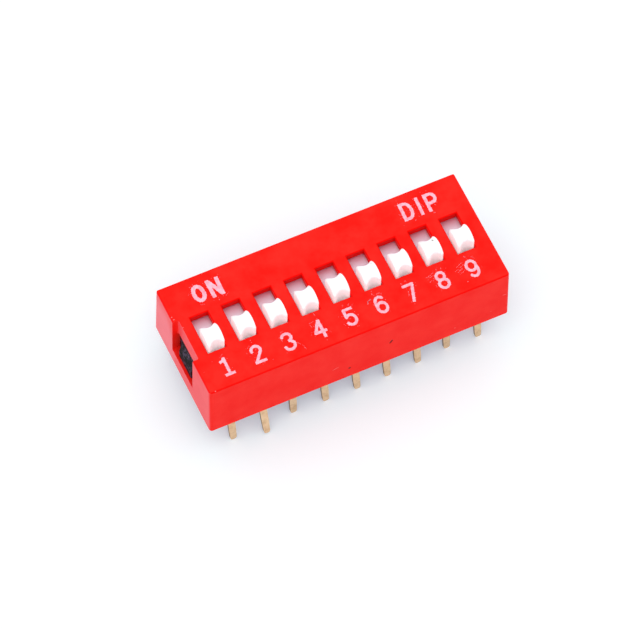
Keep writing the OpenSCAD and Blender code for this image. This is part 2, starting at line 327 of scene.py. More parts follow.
    def painted_end_reflections(self, tree: Tree, place: Socket, along: Socket) -> Socket:
        """Finds both ends, which take a painted reflection, twice as strong in one patch of the left end.

        Args:
            tree: The material's node tree.
            place: Position in the frame, in metres.
            along: How far the face looks along the row, from -1 to 1.

        Returns:
            The socket with how much of the red the painted reflection hides.
        """
        here = add(tree, "ShaderNodeSeparateXYZ", {0: place})
        out, end = (
            add(tree, "ShaderNodeMath", {0: socket}, operation="ABSOLUTE")
            for socket in (here.outputs["X"], along)
        )
        skin = add(tree, "ShaderNodeMath", {0: out, 1: self.end_skin * MM}, operation="GREATER_THAN")
        flat = add(tree, "ShaderNodeMath", {0: end, 1: skin}, operation="MULTIPLY")
        low, high = self.end_facing
        end_reflecting = add(
            tree,
            "ShaderNodeMapRange",
            {"Value": flat, "From Min": low, "From Max": high, "To Max": self.end_painted_reflection},
        )
        return add(
            tree,
            "ShaderNodeMath",
            {0: self.painted_reflection_patch.mask(tree, place), 1: end_reflecting, 2: end_reflecting},
            operation="MULTIPLY_ADD",
        ).outputs[0]

    def wire(self, tree: Tree, shader: bpy.types.Node, place: Socket) -> None:
        """Mixes the reds with painted shade and reflections, then lays dust, scuffs and shaded pits over
        them.

        Args:
            tree: The material's node tree.
            shader: Its Principled shader.
            place: Position in the frame, in metres.
        """
        mottle = add(
            tree,
            "ShaderNodeTexNoise",
            {
                "Vector": place,
                "Scale": per_mm(self.mottle),
                "Detail": self.mottle_layers,
                "Roughness": self.mottle_break,
            },
        )
        low, high = self.mottle_range
        cloud = add(tree, "ShaderNodeMapRange", {"Value": mottle, "From Min": low, "From Max": high})
        facing = add(tree, "ShaderNodeTexCoord").outputs["Normal"]
        looks = add(tree, "ShaderNodeSeparateXYZ", {0: facing})
        layers = [
            (cloud, self.deep_red),
            # painted shade on the slot walls
            (self.painted_slot_shade(tree, place), self.slot_shade_red),
            # painted shade on the rounded top edge
            (self.painted_edge_line(tree, looks.outputs["Z"]), self.painted_edge_red),
            # painted reflection on both ends
            (self.painted_end_reflections(tree, place, looks.outputs["X"]), self.painted_reflection_pink),
        ]
        for mask in (self.flecks(tree, place), *(scuff.mask(tree, place) for scuff in self.scuffs)):
            hidden = add(tree, "ShaderNodeMath", {0: mask, 1: self.cover_by_dust}, operation="MULTIPLY")
            layers.append((hidden, self.dust))
        grain = add(tree, "ShaderNodeTexNoise", {"Vector": place, "Scale": per_mm(self.grain)})
        height = grain
        for shaded_pit in self.pits:
            mask = shaded_pit.mask(tree, place)
            # painted shade inside the pits, over their bump
            layers.append((mask, self.pit_shade_red))
            depth = add(tree, "ShaderNodeMath", {0: mask, 1: self.pit_depth}, operation="MULTIPLY")
            height = add(tree, "ShaderNodeMath", {0: height, 1: depth}, operation="SUBTRACT")
        colour = linear(self.red)
        for mask, over in layers:
            colour = add(
                tree, "ShaderNodeMix", {0: mask, MIX_A: colour, MIX_B: linear(over)}, data_type="RGBA"
            ).outputs[MIX_RESULT]
        bump = add(tree, "ShaderNodeBump", {"Height": height, "Distance": self.grain_depth * MM})
        least, most = self.roughness
        rough = add(tree, "ShaderNodeMapRange", {"Value": mottle, "To Min": least, "To Max": most})
        fill(tree, shader, {"IOR": self.ior, "Specular IOR Level": self.gloss})
        fill(tree, shader, {"Base Color": colour, "Roughness": rough, "Normal": bump})


@dataclass(frozen=True)
class GlassFilledBase(Finish):
    """Black PBT with short glass fibre, injection moulded.

    Fibres near the skin and a torn gate leave it dull and uneven. Small light glints along the fibres are
    painted highlights, and its bump's hollows are painted black as shade.
    """

    name: str = "base_plastic"
    black: str = "080409"
    # painted highlight: the grey of the glints along the fibres
    grey: str = "66536C"
    ior: float = 1.5
    gloss: float = 0.07  # of the full reflection, as the torn skin scatters most of it
    roughness: float = 0.55
    lump: float = 0.55  # mm
    lump_layers: float = 4.0
    lump_depth: float = 0.06  # mm
    hollow_shade: Point = (0.47, 0.54)  # of the lumps' noise, over which painted black shade gives way to the glints
    # painted shade: a small hole in the latch, kept black
    shaded_pit: Blemish = Blemish((-11.99, -0.7, 2.57), (0.2, 0.14, 0.18))
    fibre: float = 0.13  # mm across a fibre's mark, drawn coarser than the real 0.01 mm so that it shows
    fibre_run: float = 2.2  # times as long as wide
    fibre_layers: float = 3.0
    fibre_break: float = 0.6
    painted_glint: Point = (0.47, 0.66)  # of the fibres' noise, over which the grey of the painted highlights comes up

    def wire(self, tree: Tree, shader: bpy.types.Node, place: Socket) -> None:
        """Lays painted grey glints over black along short fibres, and painted black shade in the hollows and
        a hole.

        Args:
            tree: The material's node tree.
            shader: Its Principled shader.
            place: Position in the frame, in metres.
        """
        run = add(tree, "ShaderNodeMapping", {"Vector": place, "Scale": (1.0, 1 / self.fibre_run, 1.0)})
        fibres = add(
            tree,
            "ShaderNodeTexNoise",
            {
                "Vector": run,
                "Scale": per_mm(self.fibre),
                "Detail": self.fibre_layers,
                "Roughness": self.fibre_break,
            },
        )
        lumps = add(
            tree,
            "ShaderNodeTexNoise",
            {"Vector": place, "Scale": per_mm(self.lump), "Detail": self.lump_layers},
        )
        low, high = self.painted_glint
        painted_glint = add(tree, "ShaderNodeMapRange", {"Value": fibres, "From Min": low, "From Max": high})
        low, high = self.hollow_shade
        hollow_shade = add(tree, "ShaderNodeMapRange", {"Value": lumps, "From Min": high, "From Max": low})
        colour = linear(self.black)
        for mask, over in (
            (painted_glint, self.grey), (hollow_shade, self.black), (self.shaded_pit.mask(tree, place), self.black)
        ):
            colour = add(
                tree, "ShaderNodeMix", {0: mask, MIX_A: colour, MIX_B: linear(over)}, data_type="RGBA"
            ).outputs[MIX_RESULT]
        height = add(tree, "ShaderNodeMath", {0: lumps, 1: fibres}, operation="ADD")
        bump = add(tree, "ShaderNodeBump", {"Height": height, "Distance": self.lump_depth * MM})
        fill(tree, shader, {"IOR": self.ior, "Specular IOR Level": self.gloss})
        fill(tree, shader, {"Base Color": colour, "Roughness": self.roughness, "Normal": bump})


@dataclass(frozen=True)
class NylonSlider(Finish):
    """Natural white nylon, injection moulded and slightly waxy.

    A little light passes under its skin, so its shaded sides stay bright and take up the red around them.
    Above the flange a painted white glow lifts them further.
    """

    name: str = "slider_plastic"
    white: str = "EAEEF1"
    warm: str = "EBECEC"
    # painted glow: the colour of the white glow above the flange
    glow: str = "E6FFFA"
    painted_glow: float = 0.21  # strength of a painted white glow above the flange, which lifts the shaded sides
    # painted shade: the flange in the slot, lilac under the knob and red towards its ends
    slot_floor_shade: str = "F0D9E4"
    slot_end_shade: str = "C56A7C"
    grime: str = "9C8478"
    flange_top: float = 5.06  # mm up, the level under which the flange takes painted shade
    middle: float = -0.75  # mm along the slot, where the slider's middle rests
    shade_reach: Point = (1.5, 2.4)  # mm from its middle over which the painted shade deepens to the red of the walls
    smudges: tuple[Blemish, ...] = (
        Blemish((7.91, -0.39, 6.8), (0.1, 0.12, 0.15)), Blemish((2.93, -0.29, 6.8), (0.06, 0.07, 0.15))
    )
    ior: float = 1.53
    roughness: float = 0.38
    depth: float = 0.7  # mm that light travels under the skin
    edge_round: float = 0.2  # mm, the soft edges that the solid leaves sharp
    edge_samples: int = 8
    patch: float = 0.7  # mm
    grain: float = 0.08  # mm
    grain_depth: float = 0.0015  # mm

    def flange(self, tree: Tree, along: Socket) -> Socket:
        """Paints shade on the flange: lilac under the knob and deep red towards its ends, by the red walls.

        Args:
            tree: The material's node tree.
            along: Place along the slot, in metres.

        Returns:
            The socket with the flange's painted shade.
        """
        off = add(tree, "ShaderNodeMath", {0: along, 1: self.middle * MM}, operation="SUBTRACT")
        reach = add(tree, "ShaderNodeMath", {0: off}, operation="ABSOLUTE")
        near, far = self.shade_reach
        # how far the painted shade has deepened to red
        dust = add(
            tree, "ShaderNodeMapRange", {"Value": reach, "From Min": near * MM, "From Max": far * MM}
        )
        return add(
            tree,
            "ShaderNodeMix",
            {0: dust, MIX_A: linear(self.slot_floor_shade), MIX_B: linear(self.slot_end_shade)},
            data_type="RGBA",
        ).outputs[MIX_RESULT]

    def wire(self, tree: Tree, shader: bpy.types.Node, place: Socket) -> None:
        """Mixes two near whites under a fine waxy bump, with painted shade on the flange below them
        and a painted glow above it.

        Args:
            tree: The material's node tree.
            shader: Its Principled shader.
            place: Position in the frame, in metres.
        """
        patch, grain = (
            add(tree, "ShaderNodeTexNoise", {"Vector": place, "Scale": per_mm(size)})
            for size in (self.patch, self.grain)
        )
        here = add(tree, "ShaderNodeSeparateXYZ", {0: place})
        below = add(
            tree, "ShaderNodeMath", {0: here.outputs["Z"], 1: self.flange_top * MM}, operation="LESS_THAN"
        )
        colour = linear(self.white)
        for mask, over in (
            (patch, linear(self.warm)),
            (below, self.flange(tree, here.outputs["Y"])),
            *((smudge.mask(tree, place), linear(self.grime)) for smudge in self.smudges),
        ):
            colour = add(
                tree, "ShaderNodeMix", {0: mask, MIX_A: colour, MIX_B: over}, data_type="RGBA"
            ).outputs[MIX_RESULT]
        # painted glow above the flange, none on it
        bright = add(
            tree, "ShaderNodeMapRange", {"Value": below, "To Min": self.painted_glow, "To Max": 0.0}
        )
        soft = add(tree, "ShaderNodeBevel", {"Radius": self.edge_round * MM}, samples=self.edge_samples)
        bump = add(
            tree, "ShaderNodeBump", {"Height": grain, "Distance": self.grain_depth * MM, "Normal": soft}
        )
        fill(
            tree,
            shader,
            {
                "Base Color": colour,
                "IOR": self.ior,
                "Roughness": self.roughness,
                "Subsurface Weight": 1.0,
                "Subsurface Radius": (1.0, 1.0, 1.0),
                "Subsurface Scale": self.depth * MM,
                "Emission Color": linear(self.glow),
                "Emission Strength": bright,
                "Normal": bump,
            },
        )


@dataclass(frozen=True)
class GoldFlashedStrip(Finish):
    """Brass strip with a thin gold flash, rolled, then stamped.

    The rolled faces are a dull warm tan with fine lines along the strip. The cut edges are darker,
    where the die tore through to the brass, and darker still with painted shade.
    """

    name: str = "terminal_plating"
    gold: str = "E8C8A2"
    tarnish: str = "CFAC84"
    # brass of the cut edges, painted darker still as shade
    sheared_and_shaded: str = "8F6C47"
    roughness: Point = (0.34, 0.48)  # of clean gold and of tarnish
    line: float = 0.03  # mm between rolling lines, drawn coarse enough to show
    line_run: float = 14.0  # times as long as wide
    line_depth: float = 0.0015  # mm
    stain: float = 0.45  # mm
    stain_layers: float = 5.0
    stain_break: float = 0.65
    stain_range: Point = (0.42, 0.7)  # of the noise, over which gold turns to tarnish
    edge_across: bool = True  # the sheared edges face along the row
    edge_facing: Point = (0.6, 0.9)  # how squarely a face looks along the row to be a sheared edge

    def wire(self, tree: Tree, shader: bpy.types.Node, place: Socket) -> None:
        """Stains the gold, darkens the cut edges with brass and painted shade, and draws the rolling lines.

        Args:
            tree: The material's node tree.
            shader: Its Principled shader.
            place: Position in the frame, in metres.
        """
        stain = add(
            tree,
            "ShaderNodeTexNoise",
            {
                "Vector": place,
                "Scale": per_mm(self.stain),
                "Detail": self.stain_layers,
                "Roughness": self.stain_break,
            },
        )
        low, high = self.stain_range
        stained = add(tree, "ShaderNodeMapRange", {"Value": stain, "From Min": low, "From Max": high})
        layers = [(stained, self.tarnish)]
        if self.edge_across:
            facing = add(tree, "ShaderNodeTexCoord").outputs["Normal"]
            looks = add(tree, "ShaderNodeSeparateXYZ", {0: facing})
            side = add(tree, "ShaderNodeMath", {0: looks.outputs["X"]}, operation="ABSOLUTE")
            low, high = self.edge_facing
            edge = add(tree, "ShaderNodeMapRange", {"Value": side, "From Min": low, "From Max": high})
            # brass and painted shade on the cut edges
            layers.append((edge, self.sheared_and_shaded))
        colour = linear(self.gold)
        for mask, over in layers:
            colour = add(
                tree, "ShaderNodeMix", {0: mask, MIX_A: colour, MIX_B: linear(over)}, data_type="RGBA"
            ).outputs[MIX_RESULT]
        run = add(tree, "ShaderNodeMapping", {"Vector": place, "Scale": (1.0, 1.0, 1 / self.line_run)})
        lines = add(tree, "ShaderNodeTexNoise", {"Vector": run, "Scale": per_mm(self.line)})
        bump = add(tree, "ShaderNodeBump", {"Height": lines, "Distance": self.line_depth * MM})
        clean, dull = self.roughness
        rough = add(tree, "ShaderNodeMapRange", {"Value": stained, "To Min": clean, "To Max": dull})
        fill(tree, shader, {"Base Color": colour, "Metallic": 1.0, "Roughness": rough, "Normal": bump})


@dataclass(frozen=True)
class PadPrintInk(Finish):
    """White pad-print ink, one thin coat over red.

    The red shows through, so it looks pink, and more so where the pad left less ink.
    """

    name: str = "marking_ink"
    thick: str = "FCC4D2"
    thin: str = "F89CAC"
    roughness: float = 0.45
    patch: float = 0.28  # mm
    patch_layers: float = 4.0
    patch_break: float = 0.6
    patch_range: Point = (0.4, 0.68)  # of the noise, over which the coat gets thin

    def wire(self, tree: Tree, shader: bpy.types.Node, place: Socket) -> None:
        """Mixes thick and thin ink in patches.

        Args:
            tree: The material's node tree.
            shader: Its Principled shader.
            place: Position in the frame, in metres.
        """
        patch = add(
            tree,
            "ShaderNodeTexNoise",
            {
                "Vector": place,
                "Scale": per_mm(self.patch),
                "Detail": self.patch_layers,
                "Roughness": self.patch_break,
            },
        )
        low, high = self.patch_range
        worn = add(tree, "ShaderNodeMapRange", {"Value": patch, "From Min": low, "From Max": high})
        colour = add(
            tree,
            "ShaderNodeMix",
            {0: worn, MIX_A: linear(self.thick), MIX_B: linear(self.thin)},
            data_type="RGBA",
        )
        fill(tree, shader, {"Base Color": colour.outputs[MIX_RESULT], "Roughness": self.roughness})


def arc(centre: Point, radii: Point, start: float, end: float, steps: int = 20) -> list[Point]:
    """Gives points along part of an ellipse.

    Args:
        centre: Its middle.
        radii: Its half width and half height.
        start: The first point's angle in degrees, anticlockwise from the right.
        end: The last point's angle.
        steps: How many straight pieces stand for it.

    Returns:
        The points, both ends included.
    """
    angles = (math.radians(start + (end - start) * i / steps) for i in range(steps + 1))
    return [(centre[0] + radii[0] * math.cos(a), centre[1] + radii[1] * math.sin(a)) for a in angles]


@dataclass(frozen=True)
class Glyph:
    """One printed character, as the centre lines of its strokes about the middle of its box, in mm."""

    name: str
    strokes: tuple[list[Point], ...]
    smears: tuple[list[Point], ...] = ()  # lines along which stray ink lies
    shift: float = 0.0  # how far it stands right of its place in the row


def digits() -> list[Glyph]:
    """Draws the plain numbers 1 to 9, about 1 mm wide and 1.6 mm high.

    Returns:
        The nine glyphs in order.
    """
    top, low = CAP, -CAP
    bar, foot = 0.68, -0.68  # centre lines of the upper and lower strokes
    return [
        Glyph(
            "1",
            (
                [(-0.34, 0.46), (-0.1, 0.52), (0.05, 0.66)],
                [(0.05, top), (0.03, low)],
                [(-0.37, foot), (0.42, foot)],
            ),
            ([(0.0, 0.95), (0.14, 1.1)],),
        ),
        Glyph(
            "2",
            (arc((0.0, 0.33), (0.34, 0.35), 195, -32) + [(-0.36, foot)], [(-0.45, foot), (0.47, foot)]),
            ([(-0.03, 1.0), (-0.02, 1.3)], [(-0.5, 0.72), (-0.3, 0.85)]),
        ),
        Glyph(
            "3",
            (arc((-0.02, 0.36), (0.34, 0.33), 172, -82), arc((-0.02, -0.31), (0.38, 0.37), 84, -180)),
            (
                [(-0.3, 0.9), (0.05, 0.98)],
                [(-0.5, 0.6), (-0.4, 0.2)],
                [(0.5, -0.3), (0.85, -0.7), (0.92, -1.1)],
            ),
        ),
        Glyph(
            "4",
            ([(0.18, low), (0.17, top)], [(0.12, 0.66), (-0.4, -0.24), (0.5, -0.24)]),
            ([(0.16, 1.15), (0.14, 1.4)], [(-0.5, 0.75), (-0.15, 0.8)], [(-0.5, 0.6), (-0.45, 0.3)]),
        ),
        Glyph(
            "5",
            ([(0.42, bar), (-0.26, bar), (-0.28, 0.07)] + arc((0.0, -0.23), (0.37, 0.43), 138, -166),),
            ([(-0.16, 1.0), (-0.1, 1.15)], [(0.25, 1.0), (0.45, 1.1)], [(0.55, -0.1), (0.7, 0.0)]),
            -0.025,
        ),
        Glyph(
            "6",
            (
                [(-0.35, -0.24)] + arc((0.0, 0.2), (0.35, 0.48), 180, 36),
                arc((0.0, -0.24), (0.36, 0.42), 0, 360, 32),
            ),
            (
                arc((-0.55, 0.42), (0.33, 0.3), 180, 80),
                [(-0.3, 1.0), (-0.18, 1.35)],
                [(0.0, 0.95), (0.35, 0.95), (0.4, 0.8)],
            ),
        ),
        Glyph(
            "7",
            ([(-0.45, bar), (0.42, bar)], [(0.36, top), (0.3, 0.5), (-0.12, low)]),
            ([(-0.45, 1.05), (-0.3, 0.9)], [(-0.1, 1.0), (0.15, 1.15)], [(-0.15, 0.2), (-0.3, -0.3)]),
            -0.06,
        ),
        Glyph(
            "8",
            (arc((-0.02, 0.37), (0.31, 0.32), 0, 360, 28), arc((0.0, -0.3), (0.36, 0.37), 0, 360, 28)),
            (
                [(-0.1, 0.95), (-0.05, 1.05)],
                [(0.28, 0.9), (0.35, 1.15)],
                [(-1.1, 0.42), (-0.5, 0.66)],
                [(-1.0, 0.2), (-0.52, 0.4)],
                [(-1.05, 0.62), (-0.4, 0.86)],
            ),
        ),
        Glyph(
            "9",
            (
                [(0.34, 0.24)] + arc((-0.01, -0.2), (0.36, 0.48), 0, -146),
                arc((-0.02, 0.25), (0.36, 0.42), 0, 360, 32),
            ),
            (
                [(-0.2, 1.4), (-0.1, 0.98)],
                [(0.3, 0.9), (0.5, 1.0)],
                [(-1.05, 0.55), (-0.5, 0.78)],
                [(-1.3, 0.25), (-0.5, 0.58)],
                [(-1.2, 0.08), (-0.52, 0.38)],
                [(-1.1, -0.12), (-0.54, 0.14)],
                [(-0.85, -0.9), (-0.6, -0.75)],
            ),
            -0.047,
        ),
    ]


def words() -> list[tuple[Glyph, Point, float]]:
    """Draws the plain words ON and DIP, which name a side and a form of package.

    Returns:
        Each letter with its middle on the cover and the width of its strokes, in mm.
    """
    top, low = CAP, -CAP
    bowl = 0.66  # centre line of the upper and lower strokes of D and of P
    dip_line = 3.26  # the letters' middle, from the row's axis
    on_line = dip_line - 0.02
    heavy, light = 0.3, 0.25
    letter_o = Glyph(
        "O",
        (arc((0.0, 0.0), (0.37, 0.62), 0, 360, 32),),
        ([(-0.2, -0.95), (0.05, -1.0)], [(-0.4, 0.75), (-0.1, 0.85)]),
    )
    letter_n = Glyph(
        "N",
        ([(-0.36, low), (-0.39, top)], [(0.33, low), (0.37, top)], [(-0.32, 0.62), (0.28, -0.62)]),
        ([(0.2, -0.92), (0.5, -0.95)], [(-0.3, -1.0), (-0.1, -1.1)]),
    )
    letter_d = Glyph(
        "D",
        (
            [(-0.37, low), (-0.33, top)],
            [(-0.33, bowl), (-0.02, bowl)] + arc((-0.02, 0.0), (0.38, bowl), 90, -90) + [(-0.36, -bowl)],
        ),
        ([(0.2, -1.0), (0.35, -0.95)], [(-0.7, 0.0), (-0.55, -0.2)]),
    )
    letter_i = Glyph("I", ([(-0.03, low), (0.03, top)],), ([(0.25, 0.0), (0.3, -0.2)],))
    letter_p = Glyph(
        "P",
        (
            [(-0.37, low), (-0.33, top)],
            [(-0.33, bowl), (0.06, bowl)] + arc((0.06, 0.29), (0.32, 0.37), 90, -90) + [(-0.36, -0.08)],
        ),
        ([(-0.3, -0.95), (-0.1, -0.97)], [(0.1, -0.3), (0.25, -0.5)]),
    )
    return [
        (letter_o, (-9.41, on_line), heavy),
        (letter_n, (-8.09, on_line), heavy),
        (letter_d, (7.594, dip_line), light),
        (letter_i, (8.604, dip_line), light),
        (letter_p, (9.614, dip_line), light),
    ]


@dataclass(frozen=True)
class StrayInk:
    """How the stray ink lies round the characters: fine spray, and specks along a few smears."""

    tries: int = 150  # places for spray, round each character
    spray_low: Point = (-0.85, -1.05)  # corners of the room where spray may lie
    spray_high: Point = (0.85, 1.15)
    spray_gap: float = 0.045  # clean rim round the ink
    spray_share: float = 0.45  # of the tries at the ink's edge that leave a speck
    spray_fade: float = 0.13  # over which the spray thins out to about a third
    spray_radius: Point = (0.01, 0.022)
    smear_pace: float = 0.06  # along a smear, for each speck
    smear_least: int = 3  # specks
    smear_scatter: float = 0.018
    smear_radius: Point = (0.012, 0.028)
    sides: int = 7  # corners of a speck
    uneven: Point = (0.7, 1.3)  # times its radius, to a corner


@dataclass
class PrintedMarks:
    """The pad-printed ink on the cover: the numbers, the two words and the stray ink round them."""

    ink: bpy.types.Material
    thin_ink: bpy.types.Material
    surface: float  # height of the cover's top
    pen: float = 0.222  # width of a number's strokes
    pitch: float = 2.508  # the plate is a little shorter than the row of switches
    middle: Point = (-0.083, -3.193)  # middle of the number 5
    thickness: float = 0.012
    speck_thickness: float = 0.006
    sunk: float = 0.002  # how far the ink's underside lies in the cover, so that no gap shows
    cell: float = 0.032  # mesh size, about a seventh of a stroke
    ragged: float = 0.014  # how far the edge of the ink wanders
    wander: float = 0.13  # length of one wander
    finer: float = 3.0  # how many times shorter a second wander is, at half the height
    waves: int = 14  # that add up to the wander
    wave_rate: Point = (0.5, 1.3)  # slowest and fastest wave, in waves per wander
    room: Point = (0.66, 0.96)  # half the width and height in which a character is drawn
    stray: StrayInk = StrayInk()
    seed: int = 41
    pen_end: PenEnd = PenEnd.SQUARE
    random: np.random.Generator = field(init=False)

    def __post_init__(self) -> None:
        """Seeds the random numbers, so that each run prints the same marks."""
        self.random = np.random.default_rng(self.seed)

    def inked(self, glyph: Glyph, pen: float, x: np.ndarray, y: np.ndarray) -> np.ndarray:
        """Measures how far points are from a glyph's ink.

        Args:
            glyph: The glyph.
            pen: Width of its strokes.
            x: The points' places across.
            y: The points' places up.

        Returns:
            The distance, negative inside the ink.
        """
        nearest = np.full(x.shape, np.inf)
        for stroke in glyph.strokes:
            for i, ((ax, ay), (bx, by)) in enumerate(zip(stroke, stroke[1:])):
                length = math.hypot(bx - ax, by - ay)
                along = ((x - ax) * (bx - ax) + (y - ay) * (by - ay)) / length
                across = np.abs((x - ax) * (by - ay) - (y - ay) * (bx - ax)) / length
                past = np.maximum(-along, along - length)
                block = np.maximum(across - pen / 2, past)
                nearest = np.minimum(nearest, block)
                if i > 0 or self.pen_end is PenEnd.ROUND:
                    nearest = np.minimum(nearest, np.hypot(x - ax, y - ay) - pen / 2)
        return nearest

    def wobble(self, x: np.ndarray, y: np.ndarray, size: float) -> np.ndarray:
        """Gives a smooth random height between about -1 and 1.

        Args:
            x: The points' places across.
            y: The points' places up.
            size: The length over which the height changes.

        Returns:
            The height at each point.
        """
        turn = self.random.uniform(0, 2 * math.pi, self.waves)
        phase = self.random.uniform(0, 2 * math.pi, self.waves)
        rate = 2 * math.pi / size * self.random.uniform(*self.wave_rate, self.waves)
        heights = [np.cos((x * math.cos(t) + y * math.sin(t)) * r + p) for t, p, r in zip(turn, phase, rate)]
        return sum(heights) / math.sqrt(self.waves)

    def plate(
        self,
        name: str,
        points: list[Point],
        faces: list[list[int]],
        ink: bpy.types.Material,
        thickness: float,
    ) -> bpy.types.Object:
        """Turns a flat pattern of faces into a thin closed piece on the cover.

        Args:
            name: The piece's name.
            points: The pattern's points, in mm on the cover.
            faces: The pattern's faces, anticlockwise.
            ink: What it is printed with.
            thickness: The ink's height over the cover.

        Returns:
            The piece, riding on the housing.
        """
        count = len(points)
        heights = (self.surface + thickness, self.surface - self.sunk)
        verts = [(px * MM, py * MM, z * MM) for z in heights for px, py in points]
        edges = {(a, b) for f in faces for a, b in zip(f, f[1:] + f[:1])}
        rim = [(a, b) for a, b in sorted(edges) if (b, a) not in edges]
        under = [[i + count for i in reversed(f)] for f in faces]
        walls = [[a, a + count, b + count, b] for a, b in rim]
        mesh = bpy.data.meshes.new(name)
        mesh.from_pydata(verts, [], [*faces, *under, *walls])
        mesh.materials.append(ink)
        piece = bpy.data.objects.new(name, mesh)
        bpy.context.scene.collection.objects.link(piece)
        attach(piece, "housing")
        return piece

    def print_glyph(self, glyph: Glyph, middle: Point, pen: float) -> bpy.types.Object:
        """Prints one glyph with slightly ragged edges.

        Args:
            glyph: The glyph.
            middle: The middle of its box on the cover.
            pen: Width of its strokes.

        Returns:
            The printed piece.
        """
        half_w, half_h = self.room
        xs = np.arange(-half_w, half_w + self.cell, self.cell)
        ys = np.arange(-half_h, half_h + self.cell, self.cell)
        x, y = np.meshgrid(xs, ys, indexing="ij")
        level = self.inked(glyph, pen, x, y)
        level = level + self.ragged * self.wobble(x, y, self.wander)
        level = level + self.ragged / 2 * self.wobble(x, y, self.wander / self.finer)
        points: list[Point] = []
        index: dict[tuple[int, int, int], int] = {}

        def corner(i: int, j: int) -> int:
            """Gives the number of a grid corner's point.

            Args:
                i: The corner's place across.
                j: Its place up.

            Returns:
                The number, new or found again.
            """
            if (i, j, 0) not in index:
                index[i, j, 0] = len(points)
                points.append((middle[0] + xs[i], middle[1] + ys[j]))
            return index[i, j, 0]

        def crossing(a: tuple[int, int], b: tuple[int, int]) -> int:
            """Gives the number of the point where the ink's edge crosses a grid line.

            Args:
                a: The corner at one end of the line.
                b: The corner at the other.

            Returns:
                The number, new or found again.
            """
            low, high = min(a, b), max(a, b)
            key = (*low, 1 if high[0] > low[0] else 2)
            if key not in index:
                part = level[low] / (level[low] - level[high])
                index[key] = len(points)
                points.append((
                    middle[0] + xs[low[0]] + part * (xs[high[0]] - xs[low[0]]),
                    middle[1] + ys[low[1]] + part * (ys[high[1]] - ys[low[1]]),
                ))
            return index[key]

        faces: list[list[int]] = []
        for i, j in np.ndindex(len(xs) - 1, len(ys) - 1):
            ring = [(i, j), (i + 1, j), (i + 1, j + 1), (i, j + 1)]
            wet = [level[c] < 0 for c in ring]
            if not any(wet):
                continue
            face = []
            for here, there, is_wet, next_wet in zip(ring, ring[1:] + ring[:1], wet, wet[1:] + wet[:1]):
                if is_wet:
                    face.append(corner(*here))
                if is_wet != next_wet:
                    face.append(crossing(here, there))
            faces.append(face)
        return self.plate(f"mark_{glyph.name}", points, faces, self.ink, self.thickness)

    def strays(self, glyph: Glyph, middle: Point, pen: float) -> list[tuple[Point, float]]:
        """Picks places for stray specks of ink round one glyph.

        Args:
            glyph: The glyph.
            middle: The middle of its box on the cover.
            pen: Width of its strokes.

        Returns:
            Each speck's place and radius.
        """
        stray = self.stray
        found = []
        for px, py in self.random.uniform(stray.spray_low, stray.spray_high, (stray.tries, 2)):
            gap = float(self.inked(glyph, pen, np.array([px]), np.array([py]))[0])
            chance = stray.spray_share * math.exp(-gap / stray.spray_fade)
            if gap > stray.spray_gap and self.random.random() < chance:
                found.append(((middle[0] + px, middle[1] + py), self.random.uniform(*stray.spray_radius)))
        for smear in glyph.smears:
            for (ax, ay), (bx, by) in zip(smear, smear[1:]):
                number = max(stray.smear_least, int(math.hypot(bx - ax, by - ay) / stray.smear_pace))
                for part in self.random.uniform(0, 1, number):
                    px = middle[0] + ax + part * (bx - ax) + self.random.normal(0, stray.smear_scatter)
                    py = middle[1] + ay + part * (by - ay) + self.random.normal(0, stray.smear_scatter)
                    found.append(((px, py), self.random.uniform(*stray.smear_radius)))
        return found

    def print_specks(self, specks: list[tuple[Point, float]]) -> bpy.types.Object:
        """Prints the stray ink as one piece of small uneven dots.

        Args:
            specks: Each dot's place and radius.

        Returns:
            The printed piece.
        """
        points: list[Point] = []
        faces: list[list[int]] = []
        sides = self.stray.sides
        for (px, py), radius in specks:
            start = len(points)
            for k in range(sides):
                reach = radius * self.random.uniform(*self.stray.uneven)
                angle = 2 * math.pi * k / sides
                points.append((px + reach * math.cos(angle), py + reach * math.sin(angle)))
            faces.append(list(range(start, start + sides)))
        return self.plate("mark_specks", points, faces, self.thin_ink, self.speck_thickness)

    def build(self) -> list[bpy.types.Object]:
        """Prints every mark.

        Returns:
            The printed pieces.
        """
        row = []
        for n, glyph in enumerate(digits()):
            across = self.middle[0] + glyph.shift + (n - (POSITIONS - 1) / 2) * self.pitch
            row.append((glyph, (across, self.middle[1]), self.pen))
        marks = row + words()
        made = [self.print_glyph(*mark) for mark in marks]
        specks = [speck for mark in marks for speck in self.strays(*mark)]
        made.append(self.print_specks(specks))
        return made


@dataclass
class Housing:
    """The red cover, the black base and the two rows of terminals."""

    cover_finish: Finish = MouldedCoverPlastic()
    base_finish: Finish = GlassFilledBase()
    terminal_finish: Finish = GoldFlashedStrip()

    def dress(self) -> dict[str, bpy.types.Material]:
        """Makes the three finishes and names the nodes that take each.

        Returns:
            Each node's name with its material.
        """
        dressed = {"cover": self.cover_finish.material(), "base": self.base_finish.material()}
        strip = self.terminal_finish.material()
        for n in range(1, POSITIONS + 1):
            dressed[f"front_terminal_{n}"] = strip
            dressed[f"back_terminal_{n}"] = strip
        return dressed


@dataclass
class SliderBank:
    """The nine white sliders and the spring contacts that they carry."""

    slider_finish: Finish = NylonSlider()
    bridge_finish: Finish = GoldFlashedStrip(
        name="bridge_plating", gold="E3B96A", tarnish="B98C45", edge_across=False
    )

    def dress(self) -> dict[str, bpy.types.Material]:
        """Makes the two finishes and names the nodes that take each.

        Returns:
            Each node's name with its material.
        """
        nylon = self.slider_finish.material()
        bridge = self.bridge_finish.material()
        dressed = {}
        for n in range(1, POSITIONS + 1):
            dressed[f"slider_{n}"] = nylon
            dressed[f"bridge_contact_{n}"] = bridge
        return dressed


